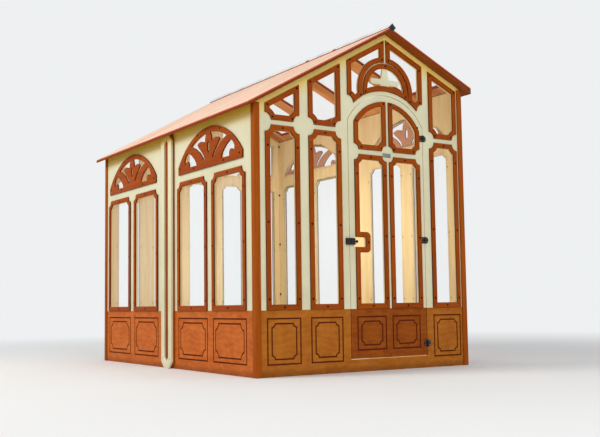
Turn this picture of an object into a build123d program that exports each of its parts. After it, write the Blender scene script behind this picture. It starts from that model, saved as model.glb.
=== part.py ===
from build123d import *
from math import atan, cos, hypot, sqrt
import os

# Plywood garden greenhouse with an uneven gable, built from cut sheets.
# Millimetres, +Z up. The door gable faces -Y, and +X runs to the right across it.
# The origin is on the ground, under the middle of the roof's outline.

# Sheets and boards
SKIN = 15
FRAME_THICK = 12
TRIM_THICK = 12
STRIP = 43
NOTCH = 54
PANE_THICK = 4
PANE_LAP = 20
PANEL_GAP = 2

# Gable wall, as a row of bays from its left corner
FIRST_MARGIN = 90
WINDOW_WIDTH = 314
WINDOW_GAP = 84
DOOR_SIDE_GAP = 75
DOOR_WIDTH = 786
LAST_MARGIN = 56

# Heights of the gable wall, down from the left eave
DADO_HEIGHT = 500
UPPER_BELOW_EAVE = 128
UPPER_GAP = 38
UPPER_DROP = 46

# Door
DOOR_CLEARANCE = 5
DOOR_BOTTOM = 103
DOOR_ARCH_RADIUS = 446
DOOR_ARCH_BELOW_TALL = 98
DOOR_LIGHT_MARGIN_LATCH = 55
DOOR_LIGHT_MARGIN_HINGE = 38
DOOR_LIGHT_GAP = 28
DOOR_QUARTER_BELOW_ARCH = 50
DOOR_LIGHT_BELOW_ARCH = 64
DOOR_QUARTER_GAP = 40
DOOR_NOTCH = 46

# Windows over the door
LUNETTE_RADIUS = 236
LUNETTE_ABOVE_DOOR = 40
LUNETTE_BASE_GAP = 40
LUNETTE_GAP = 9
GABLE_MULLION = 22
GABLE_LIGHT_SIDE = 397
GABLE_LIGHT_NOTCH = 60
GABLE_LIGHT_FOOT = 70
RIDGE_ABOVE_LUNETTE = 258

# Ornament left standing in the half-round light over the door
LOBE_RADIUS = 23
LOBE_SPREAD = 128
LOBE_RISE = 36
STEM_WIDTH = 92
STEM_WAIST = 70
STEM_TIP = 48
STEM_WAIST_RISE = 84

# Side walls, each of two panels with two windows under a carved half-round light
SIDE_MARGIN_FRONT = 137
SIDE_MARGIN_BACK = 97
SIDE_JOINT_FRONT = 175
SIDE_JOINT_BACK = 241
SIDE_WINDOW_WIDTH = 556
SIDE_WINDOW_GAP = 88
SIDE_WINDOW_HEIGHT = 1117
SIDE_LIFT_RIGHT = 300
FAN_ABOVE_WINDOW = 62
FAN_SHOULDER = 30
FAN_SIDE = 66
FAN_RISE = 337
FAN_THICK = 12
FAN_RIM = 44
EAVE_ABOVE_FAN = 70
EAVE_RIGHT_EXTRA = 36

# Roof
ROOF_THICK = 28
EAVE_OVERHANG = 88
GABLE_OVERHANG = 90
ROOF_CLIP = 32
RIDGE_LAP = 12
RIDGE_BAR_SIDE = 52
RIDGE_BAR_OFFSET = 22
RIDGE_BAR_LIFT = -2
ROOF_PANES = 4
ROOF_STRIP = 170
ROOF_FRONT_STRIP = 125
ROOF_BACK_STRIP = 315
ROOF_EAVE_STRIP = 95
ROOF_TOP_STRIP = 110
ROOF_PANE_THICK = 6
ROOF_PANE_LAP = 30

# Corner trims and the slotted covers of the panel joints
CORNER_FRONT = 40
CORNER_SIDE = 38
COVER_WIDTH = 210
COVER_SLOT = 80
COVER_THICK = 20
COVER_FOOT_WIDTH = 94
COVER_FOOT_HEIGHT = 60
COVER_SLOT_LOW = 56
COVER_SLOT_BELOW_EAVE = 92
COVER_NECK = 128
COVER_NECK_DROP = 35
COVER_SHOULDER_DROP = 66
COVER_BOARD_THICK = 17

# Dado grooves
GROOVE_WIDTH = 12
GROOVE_DEPTH = 4
GROOVE_BOTTOM = 86
GROOVE_TOP_GAP = 58
GROOVE_STEP = 38
GROOVE_BITE = 30
GROOVE_SIDE_WALL_BITE = 52
GROOVE_SIDE = 3
GROOVE_DOOR_LEFT = 4
GROOVE_DOOR_RIGHT = 29
GROOVE_DOOR_RISE = 63

# Hinges
HINGE_ABOVE_BOTTOM = 101
HINGE_ABOVE_LATCH = 30
HINGE_ABOVE_ARCH = 120
HINGE_PLATE_HEIGHT = 54
HINGE_PLATE_THICK = 4
HINGE_REACH = 33
HINGE_PLATE_GAP = 4
HINGE_PIN_RADIUS = 4
HINGE_PIN_GAP = 0.4
HINGE_PIN_STANDOFF = 13
KNUCKLE_WALL = 3
KNUCKLE_GAP = 0.5
KNUCKLE_WEB = 12

# Latch, hand hole and plate
LATCH_HEIGHT = 1040
LATCH_BOX_HEIGHT = 54
LATCH_BOX_WIDTH = 41
LATCH_BOX_DEPTH = 24
KEEPER_WIDTH = 38
KNOB_STEM = 20
KNOB_RADIUS = 12
KNOB_STEM_RADIUS = 5
HAND_HOLE_FROM_EDGE = 43
HAND_HOLE_WIDTH = 116
HAND_HOLE_HEIGHT = 80
HAND_HOLE_DROP = 3
HAND_HOLE_CORNER = 14
NAME_PLATE = (86, 35, 3)
NAME_PLATE_RISE = 9

# Places worked out from the sizes above
WINDOW_PITCH = WINDOW_WIDTH + WINDOW_GAP
DOOR_LEFT = FIRST_MARGIN + WINDOW_PITCH + WINDOW_WIDTH + DOOR_SIDE_GAP
DOOR_RIGHT = DOOR_LEFT + DOOR_WIDTH
RIDGE_FROM_LEFT = DOOR_LEFT + DOOR_WIDTH / 2
WIDTH = DOOR_RIGHT + DOOR_SIDE_GAP + WINDOW_WIDTH + LAST_MARGIN
SIDE_BAY = 2 * SIDE_WINDOW_WIDTH + SIDE_WINDOW_GAP
JOINT_PLACE = SIDE_MARGIN_FRONT + SIDE_BAY + SIDE_JOINT_FRONT
LENGTH = JOINT_PLACE + SIDE_JOINT_BACK + SIDE_BAY + SIDE_MARGIN_BACK
FAN_WIDTH = SIDE_BAY - 2 * FAN_SHOULDER
FAN_BASE = DADO_HEIGHT + SIDE_WINDOW_HEIGHT + FAN_ABOVE_WINDOW
EAVE_LEFT = FAN_BASE + FAN_RISE + EAVE_ABOVE_FAN
EAVE_RIGHT = EAVE_LEFT + SIDE_LIFT_RIGHT + EAVE_RIGHT_EXTRA
UPPER_BOTTOM = EAVE_LEFT - UPPER_BELOW_EAVE
TALL_TOP = UPPER_BOTTOM - UPPER_GAP
DOOR_ARCH_CENTRE = TALL_TOP - DOOR_ARCH_BELOW_TALL
DOOR_LIGHT_TOP = DOOR_ARCH_CENTRE - DOOR_LIGHT_BELOW_ARCH
DOOR_QUARTER_BOTTOM = DOOR_LIGHT_TOP + DOOR_QUARTER_GAP
LUNETTE_CENTRE = DOOR_ARCH_CENTRE + DOOR_ARCH_RADIUS + LUNETTE_ABOVE_DOOR
LUNETTE_BASE_RADIUS = DOOR_ARCH_RADIUS + LUNETTE_BASE_GAP
RIDGE_HEIGHT = LUNETTE_CENTRE + LUNETTE_RADIUS + RIDGE_ABOVE_LUNETTE
LEFT_SLOPE = (RIDGE_HEIGHT - EAVE_LEFT) / RIDGE_FROM_LEFT
RIGHT_SLOPE = (RIDGE_HEIGHT - EAVE_RIGHT) / (WIDTH - RIDGE_FROM_LEFT)
RIDGE_BAR_PLACE = RIDGE_FROM_LEFT + RIDGE_BAR_OFFSET
RIDGE_BAR_CENTRE = RIDGE_HEIGHT + RIDGE_BAR_SIDE * sqrt(0.5) + RIDGE_BAR_LIFT
DOORWAY_LEFT = DOOR_LEFT - DOOR_CLEARANCE
DOORWAY_RIGHT = DOOR_RIGHT + DOOR_CLEARANCE
DOORWAY_RADIUS = DOOR_ARCH_RADIUS + DOOR_CLEARANCE
DOORWAY_SPRING = DOOR_ARCH_CENTRE + sqrt(DOORWAY_RADIUS**2 - (DOOR_WIDTH / 2 + DOOR_CLEARANCE) ** 2)
HINGE_AXIS = DOOR_RIGHT + DOOR_CLEARANCE / 2
HINGE_HEIGHTS = (DOOR_BOTTOM + HINGE_ABOVE_BOTTOM, LATCH_HEIGHT + HINGE_ABOVE_LATCH,
                 DOOR_ARCH_CENTRE + HINGE_ABOVE_ARCH)

# Planes of the four walls: x runs to the right seen from outside, y is height, z points outwards.
FRONT = Plane(origin=(-WIDTH / 2, -LENGTH / 2, 0), x_dir=(1, 0, 0), z_dir=(0, -1, 0))
BACK = Plane(origin=(WIDTH / 2, LENGTH / 2, 0), x_dir=(-1, 0, 0), z_dir=(0, 1, 0))
LEFT = Plane(origin=(-WIDTH / 2, LENGTH / 2, 0), x_dir=(0, -1, 0), z_dir=(-1, 0, 0))
RIGHT = Plane(origin=(WIDTH / 2, -LENGTH / 2, 0), x_dir=(0, 1, 0), z_dir=(1, 0, 0))


def wall_top(s):
    """Height of the gable wall's top at a distance s from its left corner."""
    if s < RIDGE_FROM_LEFT:
        return EAVE_LEFT + LEFT_SLOPE * s
    return RIDGE_HEIGHT - RIGHT_SLOPE * (s - RIDGE_FROM_LEFT)


def face(points):
    """Flat face through a closed list of corner points."""
    return make_face(Polyline(*points, close=True))


def block(s0, s1, t0, t1):
    """Upright rectangle between two distances and two heights."""
    return face([(s0, t0), (s1, t0), (s1, t1), (s0, t1)])


def notched(outline, corners, radius):
    """An outline with a round bite out of each of the given corners."""
    for corner in corners:
        outline -= Pos(*corner) * Circle(radius)
    return outline


def inset(outline, distance):
    """The outline drawn in by one distance all round."""
    return offset(outline, -distance, kind=Kind.INTERSECTION)


def sheet(plane, outline, outer, thickness):
    """Board of one thickness, with its outer face at a height above the wall's face."""
    return extrude(plane * Pos(0, 0, outer) * outline, amount=-thickness)


def save(name, *solids):
    """Write one node as a STEP file."""
    parts = [solid for piece in solids for solid in piece.solids()]
    shape = parts[0] if len(parts) == 1 else Compound(children=parts)
    shape.label = name
    export_step(shape, f"parts/{name}.step")


# Outlines of the window frames

def tall_window(s0):
    s1 = s0 + WINDOW_WIDTH
    outline = block(s0, s1, DADO_HEIGHT, TALL_TOP)
    return notched(outline, [(s0, TALL_TOP), (s1, TALL_TOP)], NOTCH)


def upper_drop(s):
    """Vertical distance from the wall's sloping top down to a frame."""
    slope = LEFT_SLOPE if s < RIDGE_FROM_LEFT else RIGHT_SLOPE
    return UPPER_DROP / cos(atan(slope))


def upper_window(s0):
    s1 = s0 + WINDOW_WIDTH
    drop = upper_drop(s0)
    outline = face([
        (s0, UPPER_BOTTOM), (s1, UPPER_BOTTOM), (s1, wall_top(s1) - drop), (s0, wall_top(s0) - drop)])
    return notched(outline, [(s0, UPPER_BOTTOM), (s1, UPPER_BOTTOM)], NOTCH)


def arch_disc(radius):
    return Pos(RIDGE_FROM_LEFT, DOOR_ARCH_CENTRE) * Circle(radius)


def lunette_disc(radius):
    return Pos(RIDGE_FROM_LEFT, LUNETTE_CENTRE) * Circle(radius)


def lunette():
    return lunette_disc(LUNETTE_RADIUS) - arch_disc(LUNETTE_BASE_RADIUS)


def lunette_ornament():
    """Tapering stem with a lobe low on each side, standing on the lower edge of the half-round light."""
    low = DOOR_ARCH_CENTRE + LUNETTE_BASE_RADIUS
    lobes = low + STRIP + LOBE_RISE
    waist = low + STRIP + STEM_WAIST_RISE
    crown = LUNETTE_CENTRE + LUNETTE_RADIUS - STRIP
    half = [(STEM_WIDTH / 2, low), (STEM_WIDTH / 2, lobes + LOBE_RADIUS / 2), (STEM_WAIST / 2, waist),
            (STEM_TIP / 2, crown)]
    mirrored = [(-s, t) for s, t in half[::-1]]
    stem = face([(RIDGE_FROM_LEFT + s, t) for s, t in half + mirrored])
    return stem + Pos(RIDGE_FROM_LEFT, lobes) * SlotCenterToCenter(2 * LOBE_SPREAD, 2 * LOBE_RADIUS)


def gable_light(side):
    """Shaped light beside the lunette: side is -1 on the left and 1 on the right."""
    inner = RIDGE_FROM_LEFT + side * GABLE_MULLION / 2
    outer = RIDGE_FROM_LEFT + side * GABLE_LIGHT_SIDE
    drop = upper_drop(outer)
    low = DOOR_ARCH_CENTRE
    foot = LUNETTE_CENTRE - GABLE_LIGHT_FOOT
    outline = face([
        (inner, low), (outer, low), (outer, wall_top(outer) - drop), (inner, wall_top(inner) - drop)])
    outline -= lunette_disc(LUNETTE_RADIUS + LUNETTE_GAP)
    outline -= arch_disc(LUNETTE_BASE_RADIUS)
    outline -= Pos(outer, foot - GABLE_LIGHT_NOTCH) * Circle(GABLE_LIGHT_NOTCH)
    outline -= block(min(inner, outer) - 1, max(inner, outer) + 1, low - 1, foot - GABLE_LIGHT_NOTCH)
    return outline.faces().sort_by(Axis.Y)[-1]


def window_set(plane, outlines, cuts=None):
    """Frames, wall holes and panes for a list of frame outlines.

    A hole is as wide as its frame's opening. The pane lies on the wall's inner face and laps the hole.
    """
    cuts = cuts or {}
    frames, holes, panes = [], [], []
    for index, outline in enumerate(outlines):
        hole = inset(outline, STRIP)
        glass = inset(outline, STRIP - PANE_LAP)
        if index in cuts:
            hole -= cuts[index](STRIP)
            glass -= cuts[index](STRIP - PANE_LAP)
        frames.append(sheet(plane, outline - hole, FRAME_THICK, FRAME_THICK))
        holes.append(hole)
        panes.append(sheet(plane, glass, -SKIN, PANE_THICK))
    return frames, holes, panes


# Side walls

def side_windows(start, top):
    """The two windows of a bay that starts at a distance from the wall's left end."""
    result = []
    for s0 in (start, start + SIDE_WINDOW_WIDTH + SIDE_WINDOW_GAP):
        s1 = s0 + SIDE_WINDOW_WIDTH
        outline = block(s0, s1, DADO_HEIGHT, top)
        result.append(notched(outline, [(s0, top), (s1, top)], NOTCH))
    return result


def fan_outline(centre, base, inset_by=0.0):
    """Half-round light: a low upright on each side and one arc."""
    half = FAN_WIDTH / 2 - inset_by
    low = base + inset_by
    side = base + FAN_SIDE
    top = base + FAN_RISE - inset_by
    outline = Polyline((centre - half, side), (centre - half, low), (centre + half, low), (centre + half, side))
    arch = ThreePointArc((centre + half, side), (centre, top), (centre - half, side))
    return make_face(outline + arch)


def fan_cuts(centre, base):
    """Carved openings of the half-round light: a slit in its stem, and two openings with a leaf on each side."""
    def cut(*points):
        return face([(centre + s * FAN_WIDTH / 200, base + t * FAN_RISE / 100) for s, t in points])
    cuts = cut((0, 66), (-3, 58), (-3, 44), (0, 34), (3, 44), (3, 58))
    for side in (-1, 1):
        upper = ((6, 86), (9, 77), (11, 61), (15, 66), (23, 69), (31, 67), (35, 62), (29, 52), (20, 40), (14, 29),
                 (12, 20), (16, 22), (20, 31), (27, 42), (40, 55), (55, 64), (46, 71), (34, 78), (20, 83))
        lower = ((67, 51), (55, 42), (46, 31), (40, 20), (38, 13), (50, 13), (63, 13), (62, 20), (64, 26), (67, 29),
                 (71, 28), (76, 21), (78, 33), (74, 43))
        for opening in (upper, lower):
            cuts += cut(*((side * s, t) for s, t in opening))
    return cuts


def dado_grooves(s0, s1, t0, t1, corner_bite):
    """Two rings of groove, the inner one with bitten corners."""
    rings = []
    for step, bite in ((0, 0), (GROOVE_STEP, corner_bite)):
        a, b, c, d = s0 + step, s1 - step, t0 + step, t1 - step
        outline = block(a, b, c, d)
        if bite:
            outline = notched(outline, [(a, c), (b, c), (a, d), (b, d)], bite)
        rings.append(outline - inset(outline, GROOVE_WIDTH))
    return rings


def dado(plane, s0, s1, panels, low=0, groove_low=GROOVE_BOTTOM, bite=GROOVE_BITE):
    """Board under the windows, with grooves under each window."""
    board = sheet(plane, block(s0, s1, low, DADO_HEIGHT), 0, SKIN)
    for a, b in panels:
        for ring in dado_grooves(a, b, groove_low, DADO_HEIGHT - GROOVE_TOP_GAP, bite):
            board -= sheet(plane, ring, 1, GROOVE_DEPTH + 1)
    return board


def window_places():
    return (FIRST_MARGIN, FIRST_MARGIN + WINDOW_PITCH, DOOR_RIGHT + DOOR_SIDE_GAP)


def window_panels(places, width):
    return [(s + GROOVE_SIDE, s + width - GROOVE_SIDE) for s in places]


def gable_outline(s0, s1, t0):
    points = [(s0, t0), (s1, t0), (s1, wall_top(s1))]
    if s0 < RIDGE_FROM_LEFT < s1:
        points.append((RIDGE_FROM_LEFT, RIDGE_HEIGHT))
    points.append((s0, wall_top(s0)))
    return face(points)


def front_wall():
    places = window_places()
    outlines = [window(s) for s in places for window in (tall_window, upper_window)]
    frames, holes, panes = window_set(FRONT, outlines)
    lights = [gable_light(-1), gable_light(1), lunette()]
    light_frames, light_holes, light_panes = window_set(FRONT, lights)
    light_holes[2] -= lunette_ornament()

    left = gable_outline(0, DOORWAY_LEFT, DADO_HEIGHT)
    right = gable_outline(DOORWAY_RIGHT, WIDTH, DADO_HEIGHT)
    gable = gable_outline(DOORWAY_LEFT, DOORWAY_RIGHT, DOORWAY_SPRING) - arch_disc(DOORWAY_RADIUS)
    for hole in holes[:4]:
        left -= hole
    for hole in holes[4:]:
        right -= hole
    for hole in light_holes:
        gable -= hole
    save("front_wall_left", sheet(FRONT, left, 0, SKIN))
    save("front_wall_right", sheet(FRONT, right, 0, SKIN))
    save("front_gable", sheet(FRONT, gable, 0, SKIN))
    save("front_frames", *frames)
    save("gable_light_frames", *light_frames)
    save("front_glass", *panes, *light_panes)

    panels = window_panels(places, WINDOW_WIDTH)
    save("front_dado_left", dado(FRONT, 0, DOORWAY_LEFT, panels[:2]))
    save("front_dado_right", dado(FRONT, DOORWAY_RIGHT, WIDTH, panels[2:]))
    sill = block(DOORWAY_LEFT, DOORWAY_RIGHT, 0, DOOR_BOTTOM - DOOR_CLEARANCE)
    save("door_sill", sheet(FRONT, sill, 0, SKIN))


def back_wall():
    """The back gable repeats the window bays of the front, with two more bays in the door's place."""
    middle_gap = (DOOR_WIDTH + 2 * DOOR_SIDE_GAP - 2 * WINDOW_WIDTH) / 3
    first, second, last = window_places()
    third = second + WINDOW_WIDTH + middle_gap
    fourth = third + WINDOW_WIDTH + middle_gap
    seen_from_front = (first, second, third, fourth, last)
    mirrored = Plane(origin=(WIDTH / 2, 0, 0), z_dir=(1, 0, 0))
    outlines = [mirror(tall_window(s), about=mirrored) for s in seen_from_front]
    outlines += [mirror(upper_window(s), about=mirrored) for s in (first, second, last)]
    outlines += [mirror(gable_light_plain(s), about=mirrored) for s in (third, fourth)]
    frames, holes, panes = window_set(BACK, outlines)
    wall = mirror(gable_outline(0, WIDTH, DADO_HEIGHT), about=mirrored)
    for hole in holes:
        wall -= hole
    save("back_wall", sheet(BACK, wall, 0, SKIN))
    save("back_frames", *frames)
    save("back_glass", *panes)
    places = [WIDTH - s - WINDOW_WIDTH for s in seen_from_front]
    save("back_dado", dado(BACK, 0, WIDTH, window_panels(places, WINDOW_WIDTH)))


def gable_light_plain(s0):
    """Upper window under the ridge, where one window may reach over the ridge line."""
    s1 = s0 + WINDOW_WIDTH
    points = [(s0, UPPER_BOTTOM), (s1, UPPER_BOTTOM), (s1, wall_top(s1) - upper_drop(s1))]
    if s0 < RIDGE_FROM_LEFT < s1:
        points.append((RIDGE_FROM_LEFT, RIDGE_HEIGHT - upper_drop(RIDGE_FROM_LEFT)))
    points.append((s0, wall_top(s0) - upper_drop(s0)))
    return notched(face(points), [(s0, UPPER_BOTTOM), (s1, UPPER_BOTTOM)], NOTCH)


def side_walls():
    """Both side walls. Distances run from the back on the left wall and from the front on the right one."""
    near_first = [(SKIN, JOINT_PLACE - PANEL_GAP / 2, SIDE_MARGIN_FRONT, "front"),
                  (JOINT_PLACE + PANEL_GAP / 2, LENGTH - SKIN, JOINT_PLACE + SIDE_JOINT_BACK, "back")]
    far_first = [(LENGTH - s1, LENGTH - s0, LENGTH - start - SIDE_BAY, place) for s0, s1, start, place in near_first]
    for side, plane, panels, lift, eave in (("left", LEFT, far_first, 0, EAVE_LEFT),
                                            ("right", RIGHT, near_first, SIDE_LIFT_RIGHT, EAVE_RIGHT)):
        top = DADO_HEIGHT + SIDE_WINDOW_HEIGHT + lift
        base = FAN_BASE + lift
        frames, glass, fans, dados = [], [], [], []
        for s0, s1, start, place in panels:
            centre = start + SIDE_BAY / 2
            bay_frames, holes, panes = window_set(plane, side_windows(start, top))
            holes.append(fan_outline(centre, base, FAN_RIM))
            panes.append(sheet(plane, fan_outline(centre, base, FAN_RIM - PANE_LAP), -SKIN, PANE_THICK))
            frames += bay_frames
            glass += panes
            wall = block(s0, s1, DADO_HEIGHT, eave)
            for hole in holes:
                wall -= hole
            save(f"{side}_wall_{place}", sheet(plane, wall, 0, SKIN))
            fans.append(sheet(plane, fan_outline(centre, base) - fan_cuts(centre, base), FAN_THICK, FAN_THICK))
            places = (start, start + SIDE_WINDOW_WIDTH + SIDE_WINDOW_GAP)
            panels_under = window_panels(places, SIDE_WINDOW_WIDTH)
            dados.append(dado(plane, s0, s1, panels_under, bite=GROOVE_SIDE_WALL_BITE))
        save(f"{side}_frames", *frames)
        save(f"{side}_glass", *glass)
        save(f"{side}_fanlights", *fans)
        save(f"{side}_dado", *dados)
        joint = LENGTH - JOINT_PLACE if side == "left" else JOINT_PLACE
        slope = LEFT_SLOPE if side == "left" else RIGHT_SLOPE
        joint_cover(side, plane, joint, eave, slope)


def joint_cover(side, plane, middle, eave, slope):
    """Slotted board over the joint of two wall panels, on a stained board of the same outline."""
    half = COVER_WIDTH / 2
    foot = COVER_FOOT_WIDTH / 2
    neck = COVER_NECK / 2
    slot = COVER_SLOT / 2
    shoulder = eave - COVER_SHOULDER_DROP
    slot_top = eave - COVER_SLOT_BELOW_EAVE

    def outline(top):
        half_outline = [(foot, 0), (half, COVER_FOOT_HEIGHT), (half, shoulder), (neck, eave - COVER_NECK_DROP),
                        (neck, top)]
        mirrored = [(-s, t) for s, t in half_outline[::-1]]
        return face([(middle + s, t) for s, t in half_outline + mirrored])

    hole = face([
        (middle, COVER_SLOT_LOW), (middle + slot, COVER_SLOT_LOW + slot), (middle + slot, slot_top),
        (middle, slot_top + slot), (middle - slot, slot_top), (middle - slot, COVER_SLOT_LOW + slot)])
    outer = COVER_BOARD_THICK + COVER_THICK
    board = outline(eave - slope * COVER_BOARD_THICK)
    cover = outline(eave - slope * outer) - hole
    save(f"{side}_joint_board", sheet(plane, board, COVER_BOARD_THICK, COVER_BOARD_THICK))
    save(f"{side}_joint_cover", sheet(plane, cover, outer, COVER_THICK))


def corner_trims():
    """Angle of two stained strips on each corner, up to the roof."""
    half_width = WIDTH / 2
    half_length = LENGTH / 2
    for end, y_sign in (("front", -1), ("back", 1)):
        for side, x_sign, eave, slope in (("left", -1, EAVE_LEFT, LEFT_SLOPE), ("right", 1, EAVE_RIGHT, RIGHT_SLOPE)):
            height = eave - TRIM_THICK * slope
            outline = face([(x_sign * x, y_sign * y) for x, y in (
                (half_width - CORNER_FRONT, half_length), (half_width, half_length),
                (half_width, half_length - CORNER_SIDE), (half_width + TRIM_THICK, half_length - CORNER_SIDE),
                (half_width + TRIM_THICK, half_length + TRIM_THICK),
                (half_width - CORNER_FRONT, half_length + TRIM_THICK))])
            save(f"corner_trim_{end}_{side}", extrude(outline, amount=height, dir=(0, 0, 1)))


# Roof

def roof_profile(side, thickness, lift=0.0):
    """Section of one roof sheet, seen from the front. The left one runs a little past the ridge."""
    end = 0 if side == "left" else WIDTH
    sign = -1 if side == "left" else 1
    slope = LEFT_SLOPE if side == "left" else RIGHT_SLOPE
    lap = RIDGE_LAP if side == "left" else 0
    rise = hypot(1, slope)
    outer = end + sign * EAVE_OVERHANG
    low = RIDGE_HEIGHT - slope * abs(outer - RIDGE_FROM_LEFT)
    inner = RIDGE_FROM_LEFT + lap
    high = RIDGE_HEIGHT + slope * lap
    a = lift * rise
    b = (lift + thickness) * rise
    return face([(inner, high + a), (outer, low + a), (outer, low + b), (inner, high + b)])


def roof_slab(side, thickness, lift=0.0):
    return sheet(FRONT, roof_profile(side, thickness, lift), GABLE_OVERHANG, LENGTH + 2 * GABLE_OVERHANG)


def roof_plan(side):
    """Upright prism over one slope, with the two corners at the eave cut off."""
    ridge = RIDGE_FROM_LEFT - WIDTH / 2 + (RIDGE_LAP if side == "left" else 0)
    sign = -1 if side == "left" else 1
    outer = sign * (WIDTH / 2 + EAVE_OVERHANG)
    end = LENGTH / 2 + GABLE_OVERHANG
    outline = face([
        (ridge, -end), (outer - sign * ROOF_CLIP, -end), (outer, -end + ROOF_CLIP), (outer, end - ROOF_CLIP),
        (outer - sign * ROOF_CLIP, end), (ridge, end)])
    return extrude(outline, amount=2 * RIDGE_HEIGHT, dir=(0, 0, 1))


def roof_openings():
    """Glazed openings of the right slope, as distances from the front wall."""
    first = ROOF_FRONT_STRIP - GABLE_OVERHANG
    last = LENGTH + GABLE_OVERHANG - ROOF_BACK_STRIP
    pitch = (last - first + ROOF_STRIP) / ROOF_PANES
    starts = [first + k * pitch for k in range(ROOF_PANES)]
    return [(start, start + pitch - ROOF_STRIP) for start in starts]


def roof_cut(s0, s1, grow):
    """Upright block over one glazed opening of the right slope."""
    x0 = RIDGE_FROM_LEFT - WIDTH / 2 + ROOF_TOP_STRIP - grow
    x1 = WIDTH / 2 - ROOF_EAVE_STRIP + grow
    y0 = s0 - LENGTH / 2 - grow
    y1 = s1 - LENGTH / 2 + grow
    return Pos((x0 + x1) / 2, (y0 + y1) / 2, RIDGE_HEIGHT) * Box(x1 - x0, y1 - y0, RIDGE_HEIGHT)


def roof():
    square = Rot(0, 0, 45) * Rectangle(RIDGE_BAR_SIDE, RIDGE_BAR_SIDE)
    outline = Pos(RIDGE_BAR_PLACE, RIDGE_BAR_CENTRE) * square
    bar = sheet(FRONT, outline, GABLE_OVERHANG, LENGTH + 2 * GABLE_OVERHANG)
    left = roof_slab("left", ROOF_THICK) & roof_plan("left")
    right = (roof_slab("right", ROOF_THICK) & roof_plan("right")) - left
    pane_slab = roof_slab("right", ROOF_PANE_THICK, ROOF_THICK)
    panes = []
    for s0, s1 in roof_openings():
        right -= roof_cut(s0, s1, 0)
        panes.append(pane_slab & roof_cut(s0, s1, ROOF_PANE_LAP))
    save("roof_left", left - bar)
    save("roof_right", right - bar)
    save("roof_glass", *panes)
    save("ridge_bar", bar)


# Door

def door_light_places():
    total = DOOR_WIDTH - DOOR_LIGHT_MARGIN_LATCH - DOOR_LIGHT_MARGIN_HINGE
    width = (total - DOOR_LIGHT_GAP) / 2
    left = DOOR_LEFT + DOOR_LIGHT_MARGIN_LATCH
    return ((left, left + width), (left + width + DOOR_LIGHT_GAP, left + total))


def door_lights():
    """Frame outlines of the two tall lights and the two quarter-round lights."""
    result = []
    for s0, s1 in door_light_places():
        outline = block(s0, s1, DADO_HEIGHT, DOOR_LIGHT_TOP)
        result.append(notched(outline, [(s0, DOOR_LIGHT_TOP), (s1, DOOR_LIGHT_TOP)], DOOR_NOTCH))
    for s0, s1 in door_light_places():
        outline = block(s0, s1, DOOR_QUARTER_BOTTOM, RIDGE_HEIGHT)
        outline &= arch_disc(DOOR_ARCH_RADIUS - DOOR_QUARTER_BELOW_ARCH)
        result.append(notched(outline, [(s0, DOOR_QUARTER_BOTTOM), (s1, DOOR_QUARTER_BOTTOM)], DOOR_NOTCH))
    return result


def hand_hole(grow=0.0, reach=0.0):
    """Rounded opening beside the latch, which the frame of the left light bends around."""
    s0 = DOOR_LEFT + HAND_HOLE_FROM_EDGE - grow - reach
    width = HAND_HOLE_WIDTH + 2 * grow + reach
    height = HAND_HOLE_HEIGHT + 2 * grow
    shape = Rectangle(width, height)
    shape = fillet(shape.vertices().sort_by(Axis.X)[-2:], HAND_HOLE_CORNER + grow / 2)
    return Pos(s0 + width / 2, LATCH_HEIGHT - HAND_HOLE_DROP) * shape


def door():
    round_the_hole = {0: lambda grow: hand_hole(grow, HAND_HOLE_FROM_EDGE)}
    frames, holes, panes = window_set(FRONT, door_lights(), round_the_hole)
    frames[0] -= sheet(FRONT, hand_hole(0, HAND_HOLE_FROM_EDGE), FRAME_THICK + 1, FRAME_THICK + 2)
    leaf = arch_disc(DOOR_ARCH_RADIUS) & block(DOOR_LEFT, DOOR_RIGHT, DOOR_ARCH_CENTRE, RIDGE_HEIGHT)
    leaf += block(DOOR_LEFT, DOOR_RIGHT, DADO_HEIGHT, DOOR_ARCH_CENTRE)
    for hole in holes:
        leaf -= hole
    leaf -= hand_hole()
    save("door_leaf", sheet(FRONT, leaf, 0, SKIN))
    save("door_frames", *frames)
    save("door_glass", *panes)
    panels = [(s0 + GROOVE_DOOR_LEFT, s1 - GROOVE_DOOR_RIGHT) for s0, s1 in door_light_places()]
    save("door_dado", dado(FRONT, DOOR_LEFT, DOOR_RIGHT, panels, DOOR_BOTTOM, DOOR_BOTTOM + GROOVE_DOOR_RISE))
    plate_width, plate_height, plate_thick = NAME_PLATE
    plate = Pos(RIDGE_FROM_LEFT, DOOR_LIGHT_TOP + NAME_PLATE_RISE) * Rectangle(plate_width, plate_height)
    save("door_plate", sheet(FRONT, plate, plate_thick, plate_thick))
    hinges()
    latch()


def hinges():
    """Three black hinges: a plate on the wall with the knuckles, and a plate on the leaf with the middle one."""
    leaf_parts = []
    wall_parts = []
    third = HINGE_PLATE_HEIGHT / 3
    for height in HINGE_HEIGHTS:
        low = height - HINGE_PLATE_HEIGHT / 2
        for sign, parts, bands in ((-1, leaf_parts, (1,)), (1, wall_parts, (0, 2))):
            near, far = sorted((HINGE_AXIS + sign * HINGE_PLATE_GAP,
                                HINGE_AXIS + sign * (HINGE_PLATE_GAP + HINGE_REACH)))
            plate = block(near, far, low, low + HINGE_PLATE_HEIGHT)
            piece = sheet(FRONT, plate, HINGE_PLATE_THICK, HINGE_PLATE_THICK)
            for band in bands:
                piece += knuckle(sign, low + band * third, third)
            pin = FRONT * Pos(HINGE_AXIS, height, HINGE_PIN_STANDOFF) * Rot(90, 0, 0)
            if sign < 0:
                piece -= pin * Cylinder(HINGE_PIN_RADIUS + HINGE_PIN_GAP, HINGE_PLATE_HEIGHT)
            else:
                piece += pin * Cylinder(HINGE_PIN_RADIUS, HINGE_PLATE_HEIGHT)
            parts.append(piece)
    save("hinge_leaves_door", *leaf_parts)
    save("hinge_leaves_wall", *wall_parts)


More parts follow.
